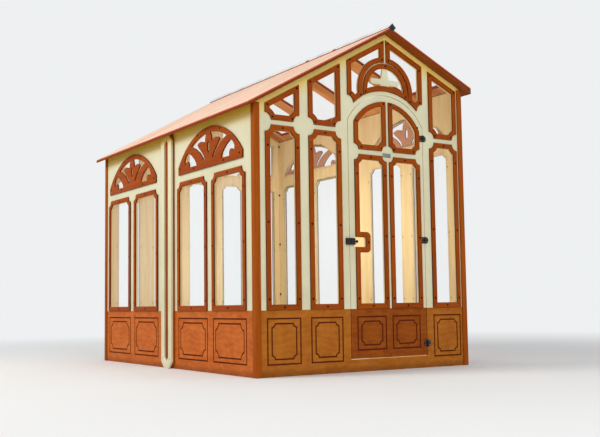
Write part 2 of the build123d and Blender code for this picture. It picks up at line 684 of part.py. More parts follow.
def knuckle(sign, low, height):
    """Barrel around the pin and the web that joins it to its plate."""
    centre = FRONT * Pos(HINGE_AXIS, low + height / 2, HINGE_PIN_STANDOFF)
    barrel = centre * Rot(90, 0, 0) * Cylinder(HINGE_PIN_RADIUS + KNUCKLE_WALL, height - 2 * KNUCKLE_GAP)
    near, far = sorted((HINGE_AXIS + sign, HINGE_AXIS + sign * KNUCKLE_WEB))
    outline = block(near, far, low + KNUCKLE_GAP, low + height - KNUCKLE_GAP)
    outer = HINGE_PIN_STANDOFF + KNUCKLE_WALL
    return barrel + sheet(FRONT, outline, outer, outer)


def latch():
    """Box latch on the door's edge with its knob, and the keeper on the wall."""
    low = LATCH_HEIGHT - LATCH_BOX_HEIGHT / 2
    high = LATCH_HEIGHT + LATCH_BOX_HEIGHT / 2
    edge = DOOR_LEFT + LATCH_BOX_WIDTH
    body = sheet(FRONT, block(DOOR_LEFT, edge, low, high), LATCH_BOX_DEPTH, LATCH_BOX_DEPTH)
    keeper = block(DOORWAY_LEFT - KEEPER_WIDTH, DOORWAY_LEFT, low, high)
    save("latch_keeper", sheet(FRONT, keeper, LATCH_BOX_DEPTH, LATCH_BOX_DEPTH))
    middle = LATCH_BOX_DEPTH / 2
    stem = FRONT * Pos(edge + KNOB_STEM / 2, LATCH_HEIGHT, middle) * Rot(0, 90, 0) * Cylinder(
        KNOB_STEM_RADIUS, KNOB_STEM)
    knob = FRONT * Pos(edge + KNOB_STEM, LATCH_HEIGHT, middle) * Sphere(KNOB_RADIUS)
    save("latch_box", body + stem + knob)


def main():
    os.makedirs("parts", exist_ok=True)
    front_wall()
    back_wall()
    side_walls()
    corner_trims()
    roof()
    door()


main()
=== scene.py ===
import random
from math import cos, pi, radians, sin

import bmesh
import bpy
from mathutils import Matrix, Vector


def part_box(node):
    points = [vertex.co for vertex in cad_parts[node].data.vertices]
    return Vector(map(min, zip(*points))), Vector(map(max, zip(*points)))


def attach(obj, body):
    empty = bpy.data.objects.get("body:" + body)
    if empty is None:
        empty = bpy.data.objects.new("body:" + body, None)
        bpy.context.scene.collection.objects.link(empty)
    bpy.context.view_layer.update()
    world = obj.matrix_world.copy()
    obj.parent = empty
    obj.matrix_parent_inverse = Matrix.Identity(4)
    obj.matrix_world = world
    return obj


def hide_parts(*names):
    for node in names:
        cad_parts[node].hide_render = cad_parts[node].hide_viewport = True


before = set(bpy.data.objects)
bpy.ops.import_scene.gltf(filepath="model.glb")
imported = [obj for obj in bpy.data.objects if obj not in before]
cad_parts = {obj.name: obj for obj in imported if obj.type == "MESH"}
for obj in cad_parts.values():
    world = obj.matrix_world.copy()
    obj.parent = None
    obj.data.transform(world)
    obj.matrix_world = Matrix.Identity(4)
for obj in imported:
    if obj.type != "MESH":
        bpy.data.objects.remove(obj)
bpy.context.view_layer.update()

# The building's own sizes, in metres: thickness of a wall sheet and of a frame, width of a frame's strips,
# reach of the corners inside a frame, and the outline; RIDGE_S runs from the door gable's left corner
SKIN = 0.015
FRAME_THICK = 0.012
STRIP = 0.043
NOTCH = 0.054
HALF_WIDTH, HALF_LENGTH, RIDGE_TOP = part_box("back_wall")[1]
LEFT_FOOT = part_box("roof_left")[0]
RIGHT_FOOT, RIGHT_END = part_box("roof_right")
RIDGE_X = RIGHT_FOOT.x
RIDGE_S = RIDGE_X + HALF_WIDTH
LEFT_SLOPE = (RIDGE_TOP - LEFT_FOOT.z) / (RIDGE_X - LEFT_FOOT.x)
RIGHT_SLOPE = (RIDGE_TOP - RIGHT_FOOT.z) / (RIGHT_END.x - RIDGE_X)
LEFT_EAVE = RIDGE_TOP - LEFT_SLOPE * RIDGE_S
RIGHT_EAVE = RIDGE_TOP - RIGHT_SLOPE * (2 * HALF_WIDTH - RIDGE_S)

# Frames: eased edges, joint lines, and where head and rail end
EDGE_ROUND = 0.0018
HAIRLINE = 0.0007
TALL_FRAME = 0.9
SHOULDER_DROP = 0.055
RAIL_REACH = 0.2
EAVE_ROUND = 0.0045

# Frame screws: their size, and how far in they stand from the ends of a stile and of an upper light
SCREW_RADIUS = 0.0086
SCREW_RISE = 0.0030
SCREW_SIDES = 12
STILE_TOP = 0.163
STILE_MIDDLE = 0.47
STILE_FOOT = 0.082
UPPER_INSET = 0.022
FOOT_INSET = NOTCH + 0.012
LOW_DROP = 0.064
HIGH_DROP = 0.086
# Lights over the door: distance to either side of the ridge, and height
CROWN_SCREWS = ((0.032, 2.718), (0.034, 2.573), (0.369, 2.530),
                (0.367, 2.250), (0.264, 2.250), (0.213, 2.283))
CROWN_FOOT = 2.521
# Door: no screw stands within this reach of the latch, but one at its height stands further right
LATCH_CLEAR_S, LATCH_CLEAR_Z = 0.13, 0.12
LATCH_SCREW_S, LATCH_SCREW_Z = 0.181, -0.003
# Carved lights: share of half the width from the middle, and share of the height
CARVED_SCREWS = ((-0.93, 0.15), (-0.47, 0.07), (0.46, 0.06), (0.92, 0.13), (0.36, 0.86), (-0.34, 0.87))

# Slotted covers: the screws' distance to either side, and from the foot and the top
COVER_SCREW_SIDE = 0.070
COVER_SCREW_FOOT = 0.082
COVER_SCREW_TOP = 0.074

# Tabs on the gables, bolts in the inner corners, plugs and straps of the ridge bar
TAB_PLACES = (1.446, 2.020)
TAB_HALF = 0.017
TAB_LOW, TAB_HIGH = -0.006, 0.009
BOLT_RADIUS = 0.0135
BOLT_RISE = 0.0060
BOLT_INSET = 0.016
BOLT_CLEAR = 0.03
BOLT_HEIGHTS = (0.663, 1.237, 1.807, 2.377)
PLUG_OUT, PLUG_IN = 0.0030, 0.0100
STRAP_PLACES = (-0.818, -0.377)
STRAP_HALF = 0.022
STRAP_THICK = 0.0040
STRAP_BELOW, STRAP_ABOVE = 0.014, 0.008

random.seed(12)


# Shader maths written as Python

class Socket:
    """A node's output that can be added, multiplied and mixed like a number."""

    def __init__(self, finish, socket):
        self.finish = finish
        self.socket = socket

    def maths(self, operation, first, second=0.0):
        return self.finish.node("Math", {"operation": operation}, {0: first, 1: second})

    def __add__(self, other):
        return self.maths("ADD", self, other)

    def __radd__(self, other):
        return self.maths("ADD", other, self)

    def __sub__(self, other):
        return self.maths("SUBTRACT", self, other)

    def __rsub__(self, other):
        return self.maths("SUBTRACT", other, self)

    def __mul__(self, other):
        return self.maths("MULTIPLY", self, other)

    def __rmul__(self, other):
        return self.maths("MULTIPLY", other, self)

    def __truediv__(self, other):
        return self.maths("DIVIDE", self, other)

    def __pow__(self, other):
        return self.maths("POWER", self, other)

    def __gt__(self, other):
        return self.maths("GREATER_THAN", self, other)

    def __lt__(self, other):
        return self.maths("LESS_THAN", self, other)

    def __abs__(self):
        return self.maths("ABSOLUTE", self)

    def ramp(self, low, high, start=0.0, end=1.0):
        """Smooth step from one value to another between two inputs."""
        inputs = {"Value": self, "From Min": low, "From Max": high, "To Min": start, "To Max": end}
        return self.finish.node("MapRange", {"interpolation_type": "SMOOTHSTEP"}, inputs)


class Finish:
    """A material, or the world, while it is made: its tree, and the one call that adds any node."""

    def __init__(self, name, home=None):
        self.home = home or bpy.data.materials.new(name)
        self.home.use_nodes = True
        self.tree = self.home.node_tree
        self.tree.nodes.clear()

    def node(self, kind, settings=None, inputs=None, output=0):
        made = self.tree.nodes.new("ShaderNode" + kind)
        for key, value in (settings or {}).items():
            setattr(made, key, value)
        for key, value in (inputs or {}).items():
            if isinstance(value, Socket):
                self.tree.links.new(value.socket, made.inputs[key])
            else:
                made.inputs[key].default_value = value
        return Socket(self, made.outputs[output]) if made.outputs else None

    def place(self):
        """Where a point of the object lies, in metres."""
        return self.node("TexCoord", output=3)

    def normal(self):
        """Which way a point of the object faces."""
        return self.node("TexCoord", output=1)

    def attribute(self, name, output=2):
        return self.node("Attribute", {"attribute_name": name}, output=output)

    def parts_of(self, vector):
        """The three numbers of a vector."""
        first = self.node("SeparateXYZ", {}, {0: vector})
        return [Socket(self, output) for output in first.socket.node.outputs]

    def joined(self, x, y, z):
        return self.node("CombineXYZ", {}, {0: x, 1: y, 2: z})

    def mix(self, factor, first, second):
        """Mix two colours."""
        return self.node("Mix", {"data_type": "RGBA"}, {"Factor": factor, 6: first, 7: second}, output=2)

    def noise(self, place, scale, detail=3.0, rough=0.55, distortion=0.0):
        inputs = {"Vector": place, "Scale": scale, "Detail": detail, "Roughness": rough}
        inputs["Distortion"] = distortion
        return self.node("TexNoise", {}, inputs)

    def stretched(self, place, size):
        return self.node("Mapping", {}, {"Vector": place, "Scale": size})

    def surface(self, colour, roughness, bump=None, height=0.001, strength=0.5, **settled):
        """Close the material with one shader and, if given, a bump."""
        inputs = {"Base Color": colour, "Roughness": roughness}
        inputs.update({key.replace("_", " "): value for key, value in settled.items()})
        if bump is not None:
            relief = {"Height": bump, "Strength": strength, "Distance": height}
            inputs["Normal"] = self.node("Bump", {}, relief)
        return self.close(self.node("BsdfPrincipled", {}, inputs))

    def close(self, shader, output="OutputMaterial"):
        self.node(output, {}, {"Surface": shader})
        return self.home


def tone(red, green, blue):
    """Screen colour from 0 to 255 as the linear value that a shader takes."""
    def linear(value):
        value /= 255
        return value / 12.92 if value <= 0.04045 else ((value + 0.055) / 1.055) ** 2.4
    return (linear(red), linear(green), linear(blue), 1.0)


# Finishes

WOOD_GLOSS = 0.07
BARE_LIGHT = tone(228, 209, 160)
BARE_DARK = tone(208, 180, 122)
GLUE_LINE = tone(168, 120, 74)
PLY_LAYER = 0.0030
ROOF_LAYER = 0.0082
GROOVE_REACH = 0.0060


def grain_place(finish, direction):
    """Object coordinates with the wood's grain along the first axis."""
    if direction == "board":
        return finish.attribute("board", output=1)
    x, y, z = finish.parts_of(finish.place())
    return finish.joined(z, x, y) if direction == "up" else finish.joined(x + y, z, x - y)


def veneer(finish, place, scale=1.0):
    """Figure of peeled veneer: broad flames, growth rings, fine streaks and pores, each from 0 to 1."""
    broad = finish.noise(finish.stretched(place, (0.9 * scale, 6.0 * scale, 6.0 * scale)), 1.6, 4.0, 0.6, 0.9)
    bands = {"Vector": finish.stretched(place, (0.35 * scale, 3.0 * scale, 3.0 * scale)), "Scale": 2.6,
             "Distortion": 9.0, "Detail": 3.0, "Detail Scale": 1.1, "Detail Roughness": 0.6}
    rings = finish.node("TexWave", {"wave_type": "BANDS", "bands_direction": "Y"}, bands, output=1)
    streak = finish.noise(finish.stretched(place, (3.0, 150.0, 150.0)), 1.0, 4.0, 0.65)
    pores = finish.noise(finish.stretched(place, (14.0, 520.0, 520.0)), 1.0, 2.0, 0.5)
    return broad, rings, streak.ramp(0.3, 0.7), pores.ramp(0.58, 0.72)


def stained_wood(name, light, dark, edge, direction="board", depth=0.5, rough=0.50):
    """Stain over plywood: flames and streaks show through, inner faces paler, and cut edges darker, partly as
    the cut's char and partly as painted shade on the side faces.
    """
    finish = Finish(name)
    broad, rings, streak, pores = veneer(finish, grain_place(finish, direction))
    figure = broad.ramp(0.35, 0.68) * 0.6 + rings * 0.4
    colour = finish.mix(figure * depth, light, dark)
    colour = finish.mix(streak * (0.45 * depth), colour, dark)
    colour = finish.mix(pores * 0.35, colour, edge)
    if direction == "board":
        colour = finish.mix(finish.attribute("shade").ramp(0.0, 1.0, 0.0, 0.30), colour, dark)
        # Cut faces take the dark edge colour: partly char of the cut, partly painted shade on the side faces
        colour = finish.mix(finish.attribute("cut") * 0.85, colour, edge)
        colour = finish.mix(finish.attribute("inner") * 0.6, colour, tone(214, 142, 84))
    roughness = rough + streak * 0.10 + pores * 0.06
    relief = streak * 0.6 + pores * 0.4
    return finish.surface(colour, roughness, relief, 0.0004, 0.35, Specular_IOR_Level=WOOD_GLOSS)


def bare_ply(finish, direction="up"):
    """Unpainted birch plywood, with the layers showing where a sheet is cut."""
    broad, rings, streak, pores = veneer(finish, grain_place(finish, direction), 0.7)
    colour = finish.mix(broad.ramp(0.35, 0.7) * 0.5 + rings * 0.25, BARE_LIGHT, BARE_DARK)
    colour = finish.mix(streak * 0.14, colour, GLUE_LINE)
    return finish.mix(pores * 0.10, colour, GLUE_LINE), streak


def facing(finish, axis, sign):
    """1 on faces that look along an axis, 0 elsewhere."""
    return (finish.parts_of(finish.normal())[axis] * sign) > 0.5


def below_face(finish, axis, sign, face):
    """Depth below a wall's outer face, in metres."""
    return sign * face - sign * finish.parts_of(finish.place())[axis]


def in_layers(depth, pitch, share):
    """1 in a share of each layer of a sheet, 0 in the rest."""
    return depth.maths("FRACT", depth / pitch) < share


def roof_underside(x):
    """Height of the roof's lower face over a place across the building."""
    left = LEFT_EAVE + (x + HALF_WIDTH) * LEFT_SLOPE
    right = RIGHT_EAVE + (HALF_WIDTH - x) * RIGHT_SLOPE
    return left.maths("MINIMUM", left, right)


def under_eave(finish, axis):
    """How much painted warm shade the paint takes under the roof's overhang: the roof's shadow and the warm
    light it throws back.
    """
    x, _, z = finish.parts_of(finish.place())
    if axis == 0:
        eave = LEFT_EAVE + (x > 0) * (RIGHT_EAVE - LEFT_EAVE)
        return (eave - z).ramp(0.035, 0.165, 0.92, 0.0)
    return (roof_underside(x) - z).ramp(0.03, 0.18, 0.85, 0.0)


def painted_wall(name, axis, sign, face):
    """Cream paint on the outer face of a plywood sheet that is bare inside."""
    finish = Finish(name)
    depth = below_face(finish, axis, sign, face)
    bare, streak = bare_ply(finish)
    looks_out = facing(finish, axis, sign)
    looks_in = facing(finish, axis, -sign)
    reveal = 1.0 - (looks_out.maths("MAXIMUM", looks_out, looks_in))
    layers = finish.mix(in_layers(depth, PLY_LAYER, 0.5) * 0.5, bare, GLUE_LINE)
    bare = finish.mix(reveal, bare, layers)
    place = grain_place(finish, "up")
    cloud = finish.noise(place, 2.2, 4.0, 0.6)
    fine = finish.noise(finish.stretched(place, (4.0, 260.0, 260.0)), 1.0, 3.0, 0.6)
    cream = finish.mix(cloud.ramp(0.35, 0.7), tone(217, 212, 178), tone(208, 202, 166))
    cream = finish.mix(fine.ramp(0.45, 0.75) * 0.16, cream, tone(184, 174, 136))
    # Painted shade: a warmer, darker tint of the cream under the eaves and along the gable's top
    painted_eave_shade = tone(214, 174, 26) if axis == 0 else tone(226, 192, 84)
    cream = finish.mix(under_eave(finish, axis), cream, painted_eave_shade)
    height = finish.parts_of(finish.place())[2]
    splash = height.ramp(0.5, 0.9, 1.0, 0.0) * cloud.ramp(0.45, 0.7) * 0.20
    cream = finish.mix(splash, cream, tone(166, 154, 120))
    edge_wobble = finish.noise(place, 130.0, 2.0) * 0.0022
    painted = looks_out.maths("MAXIMUM", looks_out, depth < edge_wobble)
    colour = finish.mix(painted, bare, cream)
    rough = 0.62 - painted * 0.16 + fine * 0.06
    return finish.surface(colour, rough, fine + streak * 0.3, 0.0003, 0.25, Specular_IOR_Level=0.25)


def dado_finish(name, axis, sign, face, light, dark):
    """Golden stain on the boards under the windows, its grooves darkened partly as charred cuts and partly as
    painted shade in the recess.
    """
    finish = Finish(name)
    depth = below_face(finish, axis, sign, face)
    bare, _ = bare_ply(finish, "across")
    place = grain_place(finish, "across")
    broad, rings, streak, pores = veneer(finish, place, 0.8)
    blotch = finish.noise(place, 5.0, 5.0, 0.65, 0.6)
    colour = finish.mix(broad.ramp(0.35, 0.68) * 0.5 + rings * 0.3, light, dark)
    colour = finish.mix(blotch.ramp(0.5, 0.75) * 0.35, colour, dark)
    colour = finish.mix(streak * 0.22, colour, dark)
    colour = finish.mix(pores * 0.20, colour, tone(90, 38, 12))
    height = finish.parts_of(finish.place())[2]
    colour = finish.mix(height.ramp(0.0, 0.07, 1.0, 0.0) * (0.25 + blotch * 0.5), colour, tone(96, 52, 22))
    # Groove faces get a dark colour: partly char of the cut, partly painted shade in the recess
    groove = (depth > 0.0004) * (depth < GROOVE_REACH)
    groove_char_and_shade = finish.mix(blotch, tone(74, 26, 8), tone(104, 42, 14))
    colour = finish.mix(groove, colour, groove_char_and_shade)
    colour = finish.mix(depth > GROOVE_REACH + 0.0002, colour, bare)
    roughness = 0.52 + streak * 0.1 + groove * 0.2
    return finish.surface(colour, roughness, streak + pores, 0.0004, 0.3, Specular_IOR_Level=WOOD_GLOSS)


# Knots of the roof sheets: across, along and radius
KNOTS = ((-0.429, -0.355, 0.011), (0.169, 0.651, 0.010), (0.188, 0.844, 0.010), (0.127, -0.325, 0.009),
         (0.070, -0.263, 0.012), (-0.700, 0.520, 0.009))


def roof_finish(name):
    """Roof sheet: its top painted pale, as sunlight glaring on the stain, with a few knots; darker stain
    below and on its edges, a painted highlight along the edges' upper part, and a lighter painted underside
    indoors.
    """
    finish = Finish(name)
    x, y, z = finish.parts_of(finish.place())
    up = finish.parts_of(finish.normal())[2]
    place = finish.joined(x, y, 0.0)
    broad, rings, streak, pores = veneer(finish, place, 0.6)
    # Top face: pale colour painted as sunlight glaring on the stain, with the grain showing through
    colour = finish.mix(broad.ramp(0.35, 0.7) * 0.6 + rings * 0.35, tone(250, 229, 207), tone(230, 186, 150))
    lines = finish.noise(finish.stretched(place, (0.5, 34.0, 34.0)), 1.0, 4.0, 0.7)
    colour = finish.mix(lines.ramp(0.44, 0.64) * 0.55, colour, tone(200, 126, 82))
    colour = finish.mix(streak * 0.24, colour, tone(190, 112, 74))
    colour = finish.mix(pores * 0.25, colour, tone(160, 84, 54))
    for knot_x, knot_y, radius in KNOTS:
        away = ((x - knot_x) ** 2.0 * 0.35 + (y - knot_y) ** 2.0) ** 0.5
        colour = finish.mix(away.ramp(radius, radius * 3.2, 0.40, 0.0), colour, tone(200, 124, 82))
        colour = finish.mix(away.ramp(radius * 0.6, radius, 1.0, 0.0), colour, tone(96, 46, 26))
    under = finish.mix(broad.ramp(0.35, 0.7) * 0.6 + streak * 0.3, tone(158, 82, 30), tone(116, 52, 14))
    # Lit and shaded copies of one stain: the underside is painted lighter indoors than under the overhang
    indoors = (abs(x) < HALF_WIDTH - SKIN) * (abs(y) < HALF_LENGTH - SKIN)
    painted_lit_ceiling = finish.mix(broad.ramp(0.4, 0.65), tone(190, 128, 70), tone(156, 94, 44))
    under = finish.mix(indoors, under, painted_lit_ceiling)
    above = z - roof_underside(x)
    layers = in_layers(above, ROOF_LAYER, 0.4)
    edge = finish.mix(layers * 0.45, tone(122, 52, 8), tone(92, 36, 4))
    # Painted highlight: a paler red band along the upper few millimetres of the sheet's edges
    painted_edge_highlight = finish.mix(layers * 0.3, tone(186, 84, 60), tone(150, 54, 32))
    edge = finish.mix(above.ramp(0.018, 0.023), edge, painted_edge_highlight)
    colour = finish.mix(up > 0.3, edge, colour)
    colour = finish.mix(up < -0.3, colour, under)
    roughness = 0.50 + streak * 0.12
    return finish.surface(colour, roughness, streak + pores, 0.0004, 0.3, Specular_IOR_Level=WOOD_GLOSS)


def clear_sheet(name):
    """Clear glazing: nearly nothing seen straight on; at a slant more of its pale colour shows, as a painted
    reflection, with a little dust.
    """
    finish = Finish(name)
    graze = finish.node("LayerWeight", {}, {"Blend": 0.25}, output=0)
    dust = finish.noise(finish.place(), 3.0, 3.0, 0.6)
    # Painted reflection: the pale colour covers more at a slant; a little dust adds to it
    cover = 0.006 + graze * 0.14 + dust.ramp(0.55, 0.85) * 0.006
    return finish.surface(tone(226, 234, 230), 0.03 + dust * 0.04, Alpha=cover)


def black_metal(name):
    """Satin black coating, a little worn where it is touched."""
    finish = Finish(name)
    place = finish.place()
    grit = finish.noise(place, 900.0, 2.0)
    wear = finish.noise(place, 70.0, 4.0, 0.7)
    colour = finish.mix(wear.ramp(0.55, 0.8), tone(20, 20, 21), tone(44, 43, 42))
    return finish.surface(colour, 0.34 + grit * 0.14, grit, 0.0002, 0.3, Specular_IOR_Level=0.35)


def bar_finish(name):
    """Plain light-grey bar along the ridge; its lower faces are painted dark red-brown, as painted shade with
    a painted reflection of the roof sheets.
    """
    finish = Finish(name)
    x, y, z = finish.parts_of(finish.place())
    fine = finish.noise(finish.joined(y * 3.0, x * 90.0, z * 90.0), 1.0, 3.0)
    cloud = finish.noise(finish.place(), 6.0, 3.0)
    colour = finish.mix(cloud.ramp(0.4, 0.7), tone(214, 214, 210), tone(190, 190, 188))
    colour = finish.mix(fine.ramp(0.5, 0.8) * 0.3, colour, tone(160, 160, 160))
    # Painted shade and painted reflection of the roof on the faces that look down
    stain = finish.mix(fine.ramp(0.35, 0.7), tone(172, 64, 34), tone(116, 40, 22))
    low = finish.parts_of(finish.normal())[2] < -0.2
    colour = finish.mix(low, colour, stain)
    return finish.surface(colour, 0.42 + fine * 0.15 + low * 0.2, fine, 0.0003, 0.3)


def grey_metal(name, light, dark):
    """Plain brushed metal."""
    finish = Finish(name)
    x, y, z = finish.parts_of(finish.place())
    brush = finish.noise(finish.joined(x * 12.0, y * 12.0, z * 900.0), 1.0, 3.0)
    cloud = finish.noise(finish.place(), 30.0, 3.0)
    colour = finish.mix(brush.ramp(0.3, 0.7), light, dark)
    colour = finish.mix(cloud.ramp(0.5, 0.8) * 0.3, colour, dark)
    return finish.surface(colour, 0.36 + brush * 0.16, brush, 0.0001, 0.3, Metallic=0.6)


front_cream = painted_wall("cream_paint_front", 1, -1, -HALF_LENGTH)
back_cream = painted_wall("cream_paint_back", 1, 1, HALF_LENGTH)
left_cream = painted_wall("cream_paint_left", 0, -1, -HALF_WIDTH)
right_cream = painted_wall("cream_paint_right", 0, 1, HALF_WIDTH)
frame_stain = stained_wood("brown_stain_frames", tone(160, 76, 8), tone(120, 46, 3), tone(62, 21, 4))
side_stain = stained_wood("brown_stain_sides", tone(162, 74, 9), tone(126, 47, 4), tone(68, 23, 5))
trim_stain = stained_wood("brown_stain_trims", tone(164, 82, 9), tone(132, 56, 4), tone(98, 40, 8), "up", 0.6)
front_dado = dado_finish("dado_stain_front", 1, -1, -HALF_LENGTH, tone(178, 108, 34), tone(148, 80, 20))
door_dado = dado_finish("dado_stain_door", 1, -1, -HALF_LENGTH, tone(154, 80, 18), tone(122, 54, 9))
back_dado = dado_finish("dado_stain_back", 1, 1, HALF_LENGTH, tone(178, 108, 34), tone(148, 80, 20))
left_dado = dado_finish("dado_stain_left", 0, -1, -HALF_WIDTH, tone(200, 108, 42), tone(166, 76, 24))
right_dado = dado_finish("dado_stain_right", 0, 1, HALF_WIDTH, tone(200, 108, 42), tone(166, 76, 24))
roof_stain = roof_finish("roof_stain_sheet")
clear_glass = clear_sheet("clear_glass_sheet")
black = black_metal("black_coating")
screw_black = stained_wood("black_screw_heads", tone(14, 13, 14), tone(8, 8, 9), tone(24, 22, 22), "up",
                           rough=0.7)
ridge_grey = bar_finish("ridge_bar_grey")
plate_grey = grey_metal("plate_aluminium", tone(150, 150, 148), tone(112, 112, 110))
zinc = grey_metal("zinc_screws", tone(170, 168, 160), tone(120, 118, 112))


# The CAD nodes of each material
for names, material in (
        ("front_wall_left front_wall_right front_gable door_leaf", front_cream), ("back_wall", back_cream),
        ("left_wall_front left_wall_back left_joint_cover", left_cream),
        ("right_wall_front right_wall_back right_joint_cover", right_cream),
        ("front_frames gable_light_frames door_frames back_frames", frame_stain),
        ("left_frames right_frames left_fanlights right_fanlights", side_stain),
        ("left_joint_board right_joint_board", trim_stain),
        ("corner_trim_front_left corner_trim_front_right", trim_stain),
        ("corner_trim_back_left corner_trim_back_right", trim_stain),
        ("front_dado_left front_dado_right door_sill", front_dado), ("door_dado", door_dado),
        ("back_dado", back_dado), ("left_dado", left_dado), ("right_dado", right_dado),
        ("roof_left roof_right", roof_stain), ("ridge_bar", ridge_grey),
        ("front_glass back_glass left_glass right_glass roof_glass door_glass", clear_glass),
        ("hinge_leaves_door hinge_leaves_wall latch_box latch_keeper", black), ("door_plate", plate_grey)):
    for name in names.split():
        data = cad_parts[name].data
        data.materials.clear()
        data.materials.append(material)


# Meshes

def piece(name, mesh, material, body, slot, *replaced, smooth=50):
    """Turn a bmesh into a finished object that rides on a body."""
    data = bpy.data.meshes.new(name)
    mesh.to_mesh(data)
    mesh.free()
    data.polygons.foreach_set("use_smooth", [True] * len(data.polygons))
    data.set_sharp_from_angle(angle=radians(smooth))
    data.materials.append(material)
    made = bpy.data.objects.new(name, data)
    bpy.context.scene.collection.objects.link(made)
    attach(made, body)
    if replaced:
        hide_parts(*replaced)
    return made


def merge(target, part):
    """Add one bmesh to another, with its board attributes."""
    data = bpy.data.meshes.new("passing")
    part.to_mesh(data)
    target.from_mesh(data)
    bpy.data.meshes.remove(data)
    part.free()


def loose_parts(node):
    """The separate solids of a CAD node, with their flat faces made whole."""
    source = bmesh.new()
    source.from_mesh(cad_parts[node].data)
    bmesh.ops.remove_doubles(source, verts=source.verts[:], dist=1e-6)
    bmesh.ops.dissolve_limit(source, angle_limit=radians(1), verts=source.verts[:], edges=source.edges[:])
    groups = []
    seen = set()
    source.verts.ensure_lookup_table()
    for vert in source.verts:
        if vert.index in seen:
            continue
        group = {vert.index}
        queue = [vert]
        while queue:
            for edge in queue.pop().link_edges:
                for other in edge.verts:
                    if other.index not in group:
                        group.add(other.index)
                        queue.append(other)
        seen |= group
        groups.append(group)
    result = []
    for group in groups:
        part = source.copy()
        bmesh.ops.delete(part, geom=[v for v in part.verts if v.index not in group], context="VERTS")
        result.append(part)
    source.free()
    return result


class Wall:
    """One outer wall: a distance along it, a height, and how far a point stands out."""

    def __init__(self, corner, along, out):
        self.corner = Vector(corner)
        self.along = Vector(along)
        self.out = Vector(out)

    def place(self, s, z, out=0.0):
        """The point at a distance along the wall, at a height and standing out from it."""
        return self.corner + self.along * s + self.out * out + Vector((0, 0, z))

    def flat(self, point):
        """A point as its distance along the wall, its height and how far it stands out."""
        away = point - self.corner
        return away.dot(self.along), point.z, away.dot(self.out)


FRONT = Wall((-HALF_WIDTH, -HALF_LENGTH, 0), (1, 0, 0), (0, -1, 0))
BACK = Wall((HALF_WIDTH, HALF_LENGTH, 0), (-1, 0, 0), (0, 1, 0))
LEFT = Wall((-HALF_WIDTH, HALF_LENGTH, 0), (0, -1, 0), (-1, 0, 0))
RIGHT = Wall((HALF_WIDTH, -HALF_LENGTH, 0), (0, 1, 0), (1, 0, 0))


def cut_away(part, point, normal):
    """Cut a solid along a plane, drop what lies on the normal's side and close the cut."""
    geometry = part.verts[:] + part.edges[:] + part.faces[:]
    bmesh.ops.bisect_plane(part, geom=geometry, plane_co=point, plane_no=normal, clear_outer=True, dist=1e-6)
    open_edges = [e for e in part.edges if e.is_boundary]
    if open_edges:
        bmesh.ops.holes_fill(part, edges=open_edges, sides=0)


def limits(part, wall):
    """Box of a solid on a wall: least and greatest distance along it, lowest and highest height."""
    distances, heights, _ = zip(*(wall.flat(v.co) for v in part.verts))
    return min(distances), max(distances), min(heights), max(heights)


def eased(part, edges, width, segments):
    """Round some edges of a solid."""
    bmesh.ops.bevel(part, geom=edges, offset=width, offset_type="OFFSET", segments=segments, profile=0.5,
                    affect="EDGES", clamp_overlap=True)


def rounded(part, width=EDGE_ROUND):
    """Ease all the sharp edges of a solid."""
    sharp = [e for e in part.edges if len(e.link_faces) == 2 and e.calc_face_angle(0) > radians(30)]
    eased(part, sharp, width, 2)


def as_board(part, wall, upright):
    """Lay the grain along a board and give it its own tone; its cut edges are marked."""
    grain = part.verts.layers.float_vector.new("board")
    shade = part.verts.layers.float.new("shade")
    cut = part.faces.layers.float.new("cut")
    inner = part.faces.layers.float.new("inner")
    start = Vector((random.uniform(-9, 9), random.uniform(-9, 9), random.uniform(-9, 9)))
    value = random.random()
    for vert in part.verts:
        s, z, out = wall.flat(vert.co)
        vert[grain] = start + (Vector((z, s, out)) if upright else Vector((s, z, out)))
        vert[shade] = value
    for face in part.faces:
        outward = face.normal.dot(wall.out)
        face[cut] = float(abs(outward) < 0.5)
        face[inner] = float(outward < -0.5)


def is_tall(box):
    """True for the frame of a tall window or light."""
    return box[3] - box[2] > TALL_FRAME


def joinery(part, wall):
    """Split a tall frame into its head, stiles and rail, with hairline joints between them."""
    box = limits(part, wall)
    s0, s1, z0, z1 = box
    if not is_tall(box):
        return [(part, z1 - z0 > s1 - s0)]
    shoulder = z1 - NOTCH - SHOULDER_DROP
    middle = (s0 + s1) / 2
    gap = HAIRLINE / 2
    up = Vector((0, 0, 1))
    slant_left = (wall.along - up).normalized()
    slant_right = (-wall.along - up).normalized()
    head = part.copy()
    cut_away(head, wall.place(0, shoulder + gap), -up)
    pieces = [(head, False)]
    for corner, slant, side in ((s0, slant_left, 1), (s1, slant_right, -1)):
        stile = part.copy()
        cut_away(stile, wall.place(0, shoulder - gap), up)
        cut_away(stile, wall.place(middle, 0), wall.along * side)
        cut_away(stile, wall.place(corner, z0) - slant * gap, slant)
        pieces.append((stile, True))
    rail = part.copy()
    cut_away(rail, wall.place(0, z0 + RAIL_REACH), up)
    cut_away(rail, wall.place(s0, z0) + slant_left * gap, -slant_left)
    cut_away(rail, wall.place(s1, z0) + slant_right * gap, -slant_right)
    pieces.append((rail, False))
    part.free()
    return pieces


def dress_frames(name, node, wall, material, body="root"):
    """Replace a node of window frames with jointed boards that have eased edges."""
    whole = bmesh.new()
    for part in loose_parts(node):
        for board, upright in joinery(part, wall):
            rounded(board)
            board.normal_update()
            as_board(board, wall, upright)
            merge(whole, board)
    return piece(name, whole, material, body, "brown_stain", node)


